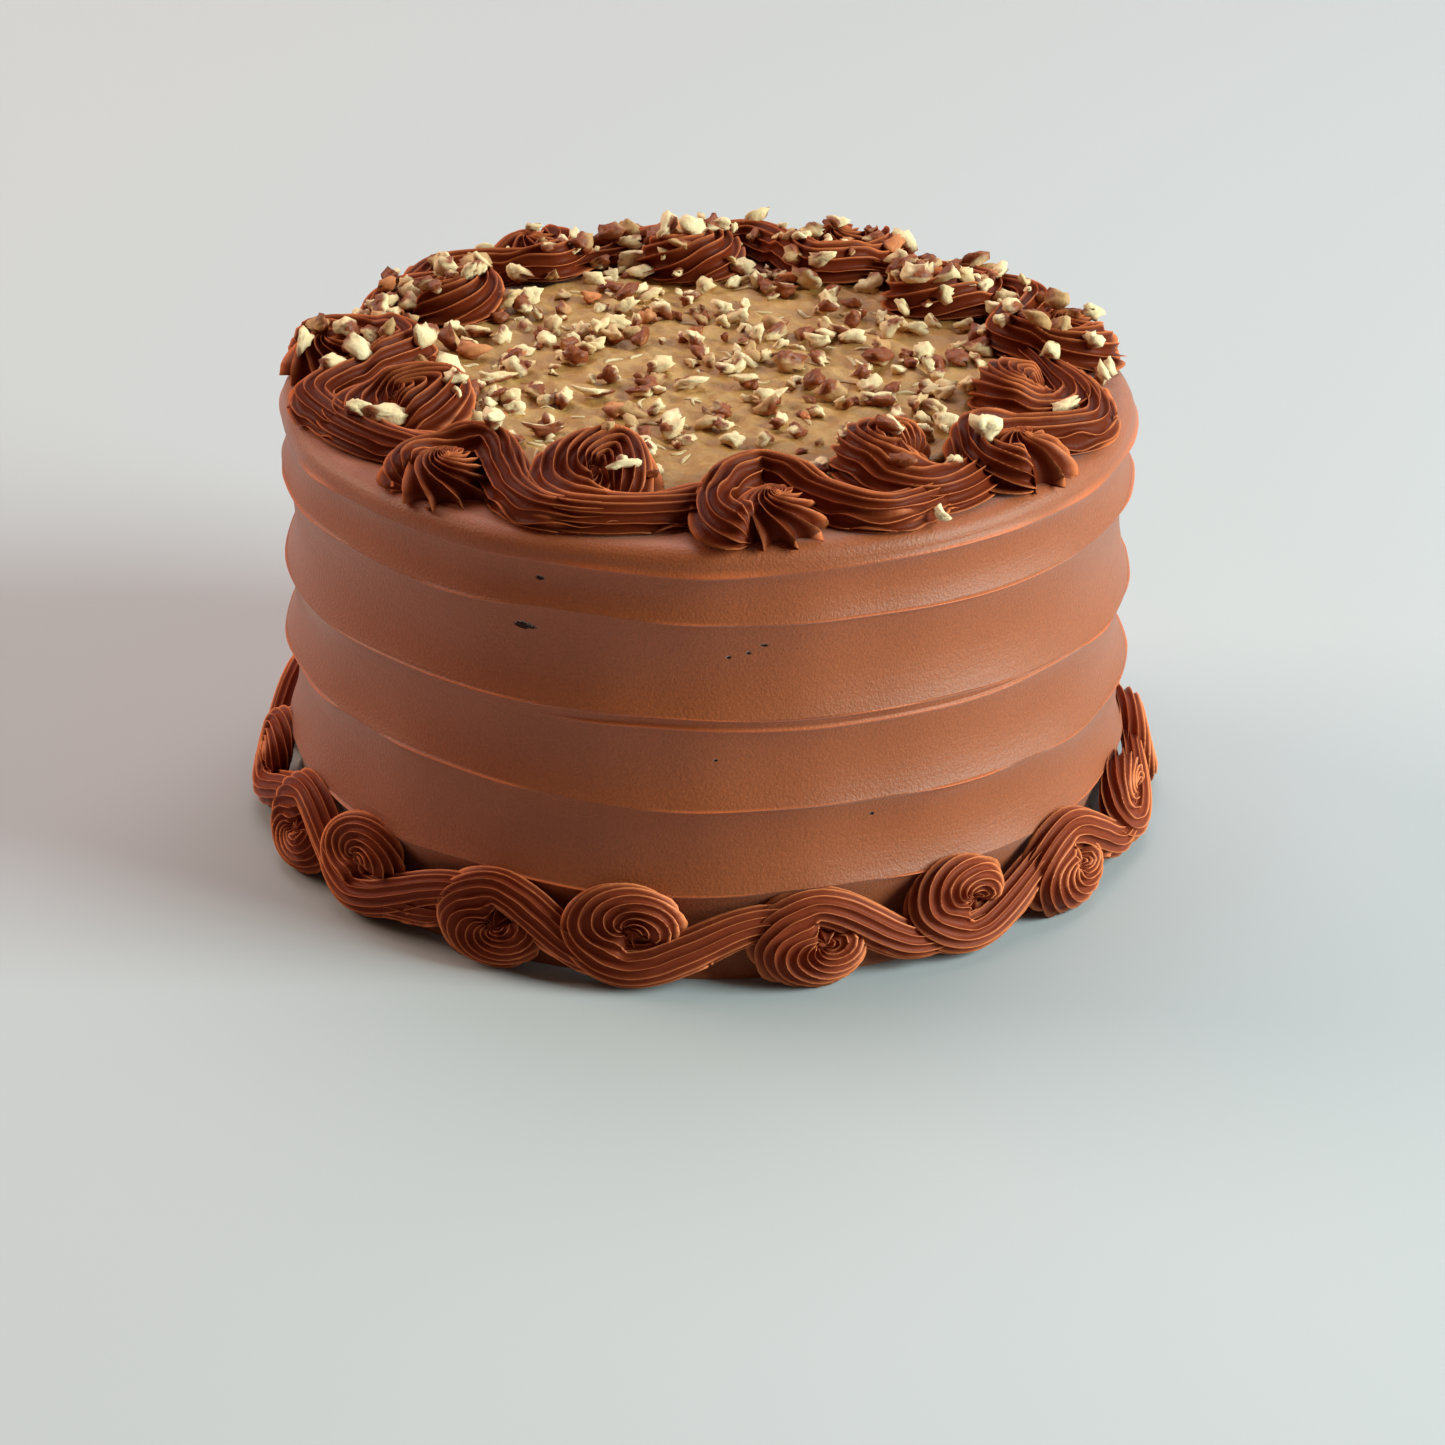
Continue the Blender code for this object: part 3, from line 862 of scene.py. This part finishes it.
def caramel_finish():
    """Glossy tan caramel, paler where coconut lies under it, darker towards its rim and its front:
    painted shade, partly thicker caramel at the rim.
    """
    settings = bpy.context.scene.cake_caramel
    finish = Finish("caramel_finish", Roughness=0.35, Specular_IOR_Level=0.35)
    base = settings.shade
    cloud = finish.noise(0.011, 4.0, 0.6)
    fleck = finish.noise(0.0024, 3.0, 0.6)
    fibre = finish.noise(0.0008, 3.0, 0.7)
    tone = finish.blend(cloud.ramp(0.36, 0.64), colour(base, 0.84, 0.78, 0.70), colour(base))
    # Painted shade: darker towards the rim beside the border and more towards the front; at the
    # rim this is partly thicker caramel
    flat = finish.vector('MULTIPLY', finish.place(), (1.0, 1.0, 0.0))
    reach = finish.vector('LENGTH', flat, output=1)
    forward = finish.node('ShaderNodeSeparateXYZ', None, {0: finish.place()}, output=1) * -1.0
    thick = reach.ramp(0.052, 0.070) * 0.30 + forward.ramp(0.028, 0.050) * 0.60
    tone = finish.blend(thick, tone, colour(base, 0.76, 0.66, 0.50))
    coconut = (fleck * 0.5 + fibre * 0.5).ramp(0.47, 0.66) * 0.6
    finish.feed("Base Color", finish.blend(coconut, tone, colour(base, 1.18, 1.24, 1.38)))
    finish.feed("Roughness", fleck * 0.25 + 0.30)
    finish.bump(fleck * 0.5 + cloud * 0.3 + fibre * 0.5, 0.0005)
    return finish.material


def shred_parts(count, lumps):
    """Coconut shreds: thin curved strips with a flat oval section, pressed into the caramel."""
    chance = np.random.default_rng(31)
    parts = []
    steps = np.linspace(-1.0, 1.0, 8)
    around = np.arange(5) * TURN / 5.0
    thick = 0.00046 * np.sqrt(np.clip(1.0 - 0.92 * steps ** 2, 0.05, 1.0))
    for _ in range(count):
        length = chance.uniform(0.0018, 0.0036)
        bend = chance.uniform(-0.7, 0.7)
        heading = chance.uniform(0.0, TURN)
        reach = (CARAMEL_RADIUS - 0.008) * math.sqrt(chance.uniform())
        place = chance.uniform(0.0, TURN)
        direction = heading + bend * steps
        run = np.stack([np.cos(direction), np.sin(direction)], -1) * length / 7.0 * 2.0
        line = np.cumsum(run, axis=0)
        line -= line.mean(0)
        offset = thick[:, None] * np.cos(around) * 1.35
        points = np.stack([
            reach * math.sin(place) + line[:, 0, None] - np.sin(direction)[:, None] * offset,
            -reach * math.cos(place) + line[:, 1, None] + np.cos(direction)[:, None] * offset,
            CARAMEL_TOP + 0.0001 + thick[:, None] * np.sin(around)], axis=-1)
        points[..., 2] += caramel_lift(points, lumps)
        vertices, faces = closed_grid(points)
        parts.append((vertices, faces, {"tone": np.full(len(vertices), chance.uniform())}))
    return parts


def shred_finish():
    """Moist pale coconut."""
    finish = Finish("coconut_finish", Roughness=0.3)
    deep, pale = colour((0.52, 0.30, 0.12)), colour((0.66, 0.47, 0.26))
    finish.feed("Base Color", finish.blend(finish.field("tone"), deep, pale))
    return finish.material


# ---------------------------------------------------------------- nuts

# Pieces laid one by one: azimuth in degrees, reach and length in mm, share of the length
# across, heading in degrees, share of skin, and tone from pale 0 to orange 1
NUTS_LAID = (
    (-62, 86, 12, 0.55, 20, 0.15, 0.2), (-47.5, 71, 10, 0.60, 25, 0.85, 0.1),
    (-41, 76.5, 9.5, 0.70, 60, 0.15, 0.1), (-65, 93, 7, 0.80, 0, 0.25, 0.3),
    (-84, 93, 7, 0.85, 50, 0.20, 0.3), (-93, 90, 7, 0.85, 10, 0.20, 0.4),
    (-110, 88, 8, 0.75, 70, 0.30, 0.3), (-45, 66, 7, 0.7, 110, 0.2, 0.0),
    (-29, 52, 7, 0.85, 40, 0.05, 0.0), (-21, 46, 7, 0.80, 80, 0.25, 0.3),
    (-15, 56, 7.5, 0.75, 130, 0.10, 0.0), (-14, 81, 9, 0.42, 12, 0.10, 0.1),
    (-10, 78, 5.5, 0.60, -20, 0.80, 0.2), (-62, 45, 6, 0.8, 30, 0.1, 0.2),
    (-65, 67, 6.5, 0.8, 0, 0.15, 0.1), (-65, 59, 6.5, 0.8, 50, 0.15, 0.1),
    (-60, 54, 5.5, 0.9, 10, 0.1, 0.1), (-48, 52, 6, 0.8, 90, 0.2, 0.2),
    (8, 46, 6.5, 0.8, 30, 0.2, 0.2), (17, 47, 6.0, 0.8, 100, 0.8, 0.2),
    (27, 38, 6.5, 0.7, 60, 0.3, 0.3), (28, 44, 5.5, 0.8, 0, 0.85, 0.3),
    (7, 27, 7.0, 0.80, 80, 0.90, 0.1), (36, 59, 6, 0.8, 30, 0.5, 0.2),
    (39, 64, 7, 0.7, 110, 0.35, 0.2), (51, 65, 8.5, 0.7, 10, 0.1, 0.2),
    (78, 55, 6.5, 0.75, 30, 0.3, 0.3), (80, 65, 7, 0.8, 80, 0.25, 0.3),
    (29, 66, 6.0, 0.7, 80, 0.40, 0.2), (23, 69, 6.5, 0.75, 50, 0.35, 0.2),
    (33, 83, 8.0, 0.62, -25, 0.85, 0.2), (36, 74, 7.5, 0.7, 150, 0.25, 0.2),
    (41, 87, 6.0, 0.7, 60, 0.3, 0.3), (49, 86.5, 9.5, 0.85, 30, 0.05, 0.0),
    (62, 75, 7.5, 0.8, 90, 0.25, 1.0), (70, 91, 8.0, 0.55, 20, 0.10, 0.2),
    (88, 79, 7.5, 0.8, 10, 0.25, 0.3), (94, 85, 7.0, 0.85, 60, 0.20, 0.3),
    (105, 99, 7.0, 0.85, 30, 0.10, 0.4), (31, 104, 5.2, 0.62, -60, 0.05, 0.1),
    (-165, 76, 10, 0.7, 0, 0.1, 0.2), (-177, 72, 8, 0.8, 0, 0.1, 0.1),
    (-94, 70, 10, 0.7, 40, 0.2, 0.2), (-124, 72, 8, 0.75, 10, 0.2, 0.3),
    (-111, 69, 7, 0.8, 70, 0.2, 0.2), (75, 59, 6, 0.8, 0, 0.2, 0.2),
    (59, 66, 8, 0.7, 160, 0.1, 0.1), (162, 66, 7, 0.85, 0, 0.6, 1.0),
)


# A nut piece's random planes, and how sharp the edges between them are
PLANES = 9
EDGES = 7.0


def nut_shape(rows, columns, chance):
    """A broken piece of nut as a unit grid: the inside of a few random planes.

    Each plane stands across a random direction at a random distance. A point's reach in
    its direction is the shortest distance to any plane, a little rounded, times uneven dents.
    """
    v = (np.arange(rows) + 0.5) / rows * math.pi
    u = np.arange(columns) * TURN / columns
    u = u[None, :] + 0.5 * TURN / columns * (np.arange(rows) % 2)[:, None]
    ray = np.stack([np.sin(v)[:, None] * np.cos(u), np.sin(v)[:, None] * np.sin(u),
                    np.cos(v)[:, None] * np.ones_like(u)], axis=-1)
    normal = unit(chance.normal(size=(PLANES, 3)))
    distance = chance.uniform(0.30, 0.55, PLANES)
    facing = np.clip(ray @ normal.T, 0.0, None)
    closeness = ((facing / distance) ** EDGES).sum(-1) + 1.1 ** EDGES
    reach = closeness ** (-1.0 / EDGES)
    dents = (1.0 + 0.17 * waves(ray, 1.1, int(chance.integers(1 << 30)))
             + 0.07 * waves(ray, 0.45, int(chance.integers(1 << 30))))
    points = ray * (reach * dents)[..., None]
    spread = points.reshape(-1, 3)
    points = (points - spread.mean(0)) / (spread.max(0) - spread.min(0))
    return points, ray


def turned_by(points, heading, tilt, roll):
    """Turn points about X by roll, about Y by tilt and about Z by heading."""
    matrix = (Matrix.Rotation(heading, 3, 'Z') @ Matrix.Rotation(tilt, 3, 'Y')
              @ Matrix.Rotation(roll, 3, 'X'))
    return points @ np.array(matrix).T


def nut_part(place, sizes, heading, tilt, roll, skin, tone, chance, rows=10, columns=14):
    """One nut piece standing at a place, with a skinned side.

    Thin long pieces are bent: the height rises with the square of the way along.
    """
    points, ray = nut_shape(rows, columns, chance)
    face = chance.normal(size=3)
    face /= np.linalg.norm(face)
    coated = ray @ face + 0.12 * waves(ray, 1.0, int(chance.integers(1 << 30)))
    bend = chance.uniform(0.0, 0.9) * (sizes[0] / max(sizes[1], MM) - 1.0)
    points[..., 2] += bend * points[..., 0] ** 2
    points = turned_by(points * np.array(sizes), heading, tilt, roll)
    points[..., 2] -= points[..., 2].min()
    vertices, faces = closed_grid(points + np.array(place), turned=True)
    mask = closed_values(smooth((coated + skin * 2.0 - 1.0) / 0.25 + 0.5))
    return vertices, faces, {"skin": mask, "tone": np.full(len(vertices), tone)}


class Surface:
    """Heights of the caramel and the top border in small square cells."""

    CELL = 0.0010
    REACH = 0.130

    def __init__(self):
        self.middle = int(self.REACH / self.CELL)
        self.level = np.full((2 * self.middle, 2 * self.middle), CARAMEL_TOP)
        for node in TOP_NODES:
            points = mesh_points(bpy.data.objects["piped_" + node].data)
            column, row = self.cell(points[:, 0], points[:, 1])
            np.maximum.at(self.level, (column, row), points[:, 2])

    def cell(self, x, y):
        return (np.floor(np.asarray(x) / self.CELL).astype(int) + self.middle,
                np.floor(np.asarray(y) / self.CELL).astype(int) + self.middle)

    def under(self, x, y):
        """Mean height of the three by three cells round a place."""
        column, row = self.cell(x, y)
        return float(self.level[column - 1:column + 2, row - 1:row + 2].mean())


def laid_nuts(surface, chance):
    """Parts for the pieces laid one by one."""
    for azimuth, reach, length, girth, heading, skin, tone in NUTS_LAID:
        turn = math.radians(azimuth)
        x, y = reach * MM * math.sin(turn), -reach * MM * math.cos(turn)
        sizes = (length * MM, length * girth * MM, length * girth * 0.8 * MM)
        yield nut_part((x, y, surface.under(x, y) - 0.0006), sizes, math.radians(heading),
                       chance.uniform(-0.3, 0.3), chance.uniform(-0.5, 0.5), skin, tone, chance)


def strewn_nuts(surface, pieces, chance):
    """Parts for pieces strewn by chance in patches, each with its own room.

    They lie thicker towards the back, and on the border only from the middle back.
    """
    tries, edge, room = 9, 0.1000, 0.54
    taken = [(r * MM * math.sin(math.radians(a)), -r * MM * math.cos(math.radians(a)))
             for a, r, *_ in NUTS_LAID]
    for _ in range(pieces * tries):
        reach = edge * math.sqrt(chance.uniform())
        turn = chance.uniform(0.0, TURN)
        x, y = reach * math.sin(turn), -reach * math.cos(turn)
        size = chance.uniform(0.0035, 0.0098) * (0.75 + 0.25 * chance.uniform())
        wanted = 0.34 + 0.66 * smooth((y + 0.04) / 0.09)
        if reach > CARAMEL_RADIUS - 0.006:
            wanted = smooth((y + 0.015) / 0.05)
        patch = waves(np.array([[x, y]]), 0.030, 61)[0]
        wanted *= 0.30 + 0.70 * smooth(0.5 + 0.55 * patch)
        gap = min(math.hypot(x - i, y - j) for i, j in taken)
        full = len(taken) >= pieces + len(NUTS_LAID)
        if full or chance.uniform() > wanted or gap < size * room:
            continue
        taken.append((x, y))
        sizes = (size, size * chance.uniform(0.5, 0.9), size * chance.uniform(0.45, 0.75))
        skin = 0.10 + 0.80 * chance.uniform() ** 2.2
        yield nut_part((x, y, surface.under(x, y) - 0.0005), sizes, chance.uniform(0.0, TURN),
                       chance.uniform(-0.5, 0.5), chance.uniform(-0.5, 0.5), skin,
                       chance.uniform(), chance, 8, 12)


def nut_finish():
    """Cream broken nut meat, browner or orange on a few pieces, and a dark red-brown skin."""
    settings = bpy.context.scene.cake_nuts
    finish = Finish("chopped_nut_finish", Roughness=0.6, Specular_IOR_Level=0.25)
    tone = finish.field("tone")
    skin = finish.field("skin")
    grain = finish.noise(0.0012, 3.0, 0.6)
    meat, dark = settings.meat, settings.skin
    flesh = finish.blend(tone * 0.6 + grain * 0.5 - 0.15, colour(meat, 1.09, 1.14, 1.26),
                         colour(meat, 0.88, 0.74, 0.55))
    flesh = finish.blend(tone.ramp(0.66, 0.80) * 0.8, flesh, colour(meat, 0.58, 0.38, 0.26))
    flesh = finish.blend(tone.ramp(0.93, 0.98), flesh, colour(meat, 0.75, 0.32, 0.20))
    hide = finish.blend(grain.ramp(0.4, 0.75) * 0.8, colour(dark), colour(dark, 1.9, 2.1, 1.9))
    finish.feed("Base Color", finish.blend(skin, flesh, hide))
    finish.feed("Roughness", 0.62 - skin * 0.2)
    finish.bump(grain, 0.0003)
    return finish.material


def large_nut(node, chance):
    """A nut piece as long, wide and tall as its solid, turned as it is."""
    low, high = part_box(node)
    points = node_points(node)[:, :2]
    spread = points - points.mean(0)
    _, _, axes = np.linalg.svd(spread, full_matrices=False)
    reach = spread @ axes.T
    sizes = (np.ptp(reach[:, 0]), np.ptp(reach[:, 1]), high.z - low.z)
    middle = (low + high) / 2.0
    return nut_part((middle.x, middle.y, low.z - 0.0004), sizes,
                    math.atan2(axes[0, 1], axes[0, 0]), 0.0, 0.0, chance.uniform(0.3, 0.6),
                    chance.uniform(0.0, 0.6), chance, 14, 18)


# ---------------------------------------------------------------- operators

class CAKE_OT_frosting(bpy.types.Operator):
    """Make the combed and smoothed frosting"""
    bl_idname = "cake.frosting"
    bl_label = "Frosting"

    def execute(self, context):
        settings = context.scene.cake_frosting
        points, lip = frosting_grid(settings.columns, settings.flute_depth, settings.burr)
        piece = add_piece("frosting", *closed_grid(points, turned=True),
                          {"lip": closed_values(lip)}, frosting_finish(), "chocolate_frosting")
        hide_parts("frosted_cake")
        return {'FINISHED'}


class CAKE_OT_caramel(bpy.types.Operator):
    """Spread the caramel and its coconut shreds"""
    bl_idname = "cake.caramel"
    bl_label = "Caramel"

    def execute(self, context):
        settings = context.scene.cake_caramel
        piece = add_piece("caramel", *closed_grid(caramel_grid(settings.lumps), turned=True),
                          {}, caramel_finish(), "caramel_filling")
        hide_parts("caramel_topping")
        shreds = joined(shred_parts(settings.shreds, settings.lumps))
        add_piece("coconut_shreds", *shreds, shred_finish(), "caramel_filling")
        return {'FINISHED'}


class CAKE_OT_border(bpy.types.Operator):
    """Pipe the shells of both borders"""
    bl_idname = "cake.border"
    bl_label = "Piped borders"

    def execute(self, context):
        settings = context.scene.cake_border
        finish = piped_finish("top_piping_finish", settings.crest, settings.groove)
        pipe_border(TOP_NODES, TOP_STYLE, TOP_HEADS, settings.top_ridges, finish, carry_top)
        finish = piped_finish("bottom_piping_finish", settings.low_crest_highlight_bounce, settings.low_groove_shade_bounce)
        pipe_border(BOTTOM_NODES, BOTTOM_STYLE, (), settings.bottom_ridges, finish,
                    carry_bottom)
        return {'FINISHED'}


class CAKE_OT_nuts(bpy.types.Operator):
    """Scatter the chopped nuts"""
    bl_idname = "cake.nuts"
    bl_label = "Chopped nuts"

    def execute(self, context):
        settings = context.scene.cake_nuts
        finish = nut_finish()
        for index, node in enumerate(NUT_NODES):
            part = large_nut(node, np.random.default_rng(900 + index))
            piece = add_piece("large_" + node, *part, finish, "chopped_nut")
            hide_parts(node)
        chance = np.random.default_rng(77)
        surface = Surface()
        parts = list(laid_nuts(surface, chance))
        parts += strewn_nuts(surface, settings.pieces, chance)
        add_piece("small_nut_pieces", *joined(parts), finish, "chopped_nut")
        return {'FINISHED'}


# The camera's place, how far it looks down and turns, its roll, and its focal length in mm
CAMERA_PLACE = (0.0, -1.1743, 0.5736)
CAMERA_DOWN = math.radians(25.332)
CAMERA_YAW = math.radians(0.2074)
CAMERA_ROLL = math.radians(0.5188)
LENS = 127.06

# Soft lights: name, azimuth and elevation in degrees, distance and size in metres, watts and
# colour
LAMPS = (
    ("window", 74.0, 24.0, 2.0, (1.0, 1.2), 62.0, (0.90, 1.20, 1.14)),
    ("second_window", -112.0, 30.0, 2.2, (1.2, 1.2), 30.0, (1.0, 0.88, 0.72)),
    ("rim_window", 148.0, 18.0, 2.6, (1.4, 1.4), 9.0, (0.88, 1.0, 1.02)),
    ("skylight", 180.0, 58.0, 3.0, (3.0, 2.4), 60.0, (0.97, 0.98, 1.0)),
)
FLOOR_SHADE = (0.478, 0.460, 0.480)
WORLD_SHADE, WORLD_STRENGTH = (1.0, 0.68, 0.44), 0.10


class CAKE_OT_stage(bpy.types.Operator):
    """Set up the pale floor, the soft light and the camera"""
    bl_idname = "cake.stage"
    bl_label = "Stage"

    def execute(self, context):
        scene = context.scene
        mesh = bpy.data.meshes.new("floor")
        far = 6.0
        mesh.from_pydata([(-far, -far, 0.0), (far, -far, 0.0), (far, far, 0.0),
                          (-far, far, 0.0)], [], [(0, 1, 2, 3)])
        floor = bpy.data.objects.new("floor", mesh)
        finish = Finish("floor_finish", Roughness=0.7, Specular_IOR_Level=0.2)
        finish.feed("Base Color", colour(FLOOR_SHADE))
        mesh.materials.append(finish.material)
        scene.collection.objects.link(floor)

        world = bpy.data.worlds.new("soft_light")
        scene.world = world
        world.use_nodes = True
        back = world.node_tree.nodes["Background"]
        back.inputs["Color"].default_value = colour(WORLD_SHADE)
        back.inputs["Strength"].default_value = WORLD_STRENGTH
        scene.view_settings.view_transform = 'Standard'

        for values in LAMPS:
            self.lamp(*values)

        camera = bpy.data.cameras.new("camera")
        camera.lens = LENS
        camera.sensor_width = 36.0
        camera.clip_end = 50.0
        eye = bpy.data.objects.new("camera", camera)
        turn = (Matrix.Rotation(-CAMERA_YAW, 4, 'Z')
                @ Matrix.Rotation(math.pi / 2.0 - CAMERA_DOWN, 4, 'X')
                @ Matrix.Rotation(CAMERA_ROLL, 4, 'Z'))
        eye.matrix_world = Matrix.Translation(CAMERA_PLACE) @ turn
        scene.collection.objects.link(eye)
        scene.camera = eye
        return {'FINISHED'}

    def lamp(self, name, azimuth, elevation, distance, size, watts, shade):
        """A soft area light at a distance from the cake, turned to it."""
        data = bpy.data.lights.new(name, 'AREA')
        data.shape = 'RECTANGLE'
        data.size, data.size_y = size
        data.energy = watts
        data.color = shade
        lamp = bpy.data.objects.new(name, data)
        a, e = math.radians(azimuth), math.radians(elevation)
        spot = Matrix.Translation((distance * math.sin(a) * math.cos(e),
                                   -distance * math.cos(a) * math.cos(e),
                                   distance * math.sin(e) + 0.06))
        lamp.matrix_world = spot @ Matrix.Rotation(a, 4, 'Z') @ Matrix.Rotation(
            math.pi / 2.0 - e, 4, 'X')
        bpy.context.scene.collection.objects.link(lamp)


class CAKE_PT_panel(bpy.types.Panel):
    """The cake's pieces in the sidebar"""
    bl_idname = "CAKE_PT_panel"
    bl_label = "Layer Cake"
    bl_space_type = 'VIEW_3D'
    bl_region_type = 'UI'
    bl_category = "Cake"

    def draw(self, context):
        layout = self.layout
        for group in (context.scene.cake_frosting, context.scene.cake_caramel,
                      context.scene.cake_border, context.scene.cake_nuts):
            box = layout.box()
            for name in group.__annotations__:
                box.prop(group, name)
        for operator in OPERATORS:
            layout.operator(operator.bl_idname)


GROUPS = {"cake_frosting": CAKE_PG_frosting, "cake_caramel": CAKE_PG_caramel,
          "cake_border": CAKE_PG_border, "cake_nuts": CAKE_PG_nuts}
OPERATORS = (CAKE_OT_frosting, CAKE_OT_caramel, CAKE_OT_border, CAKE_OT_nuts, CAKE_OT_stage)


def register():
    for name, group in GROUPS.items():
        bpy.utils.register_class(group)
        setattr(bpy.types.Scene, name, PointerProperty(type=group))
    for item in OPERATORS + (CAKE_PT_panel,):
        bpy.utils.register_class(item)


def unregister():
    for item in (CAKE_PT_panel,) + OPERATORS[::-1]:
        bpy.utils.unregister_class(item)
    for name, group in GROUPS.items():
        delattr(bpy.types.Scene, name)
        bpy.utils.unregister_class(group)


def main():
    """Make every piece and the stage."""
    register()
    bpy.ops.cake.stage()
    bpy.ops.cake.frosting()
    bpy.ops.cake.caramel()
    bpy.ops.cake.border()
    bpy.ops.cake.nuts()


if __name__ == "__main__":
    main()
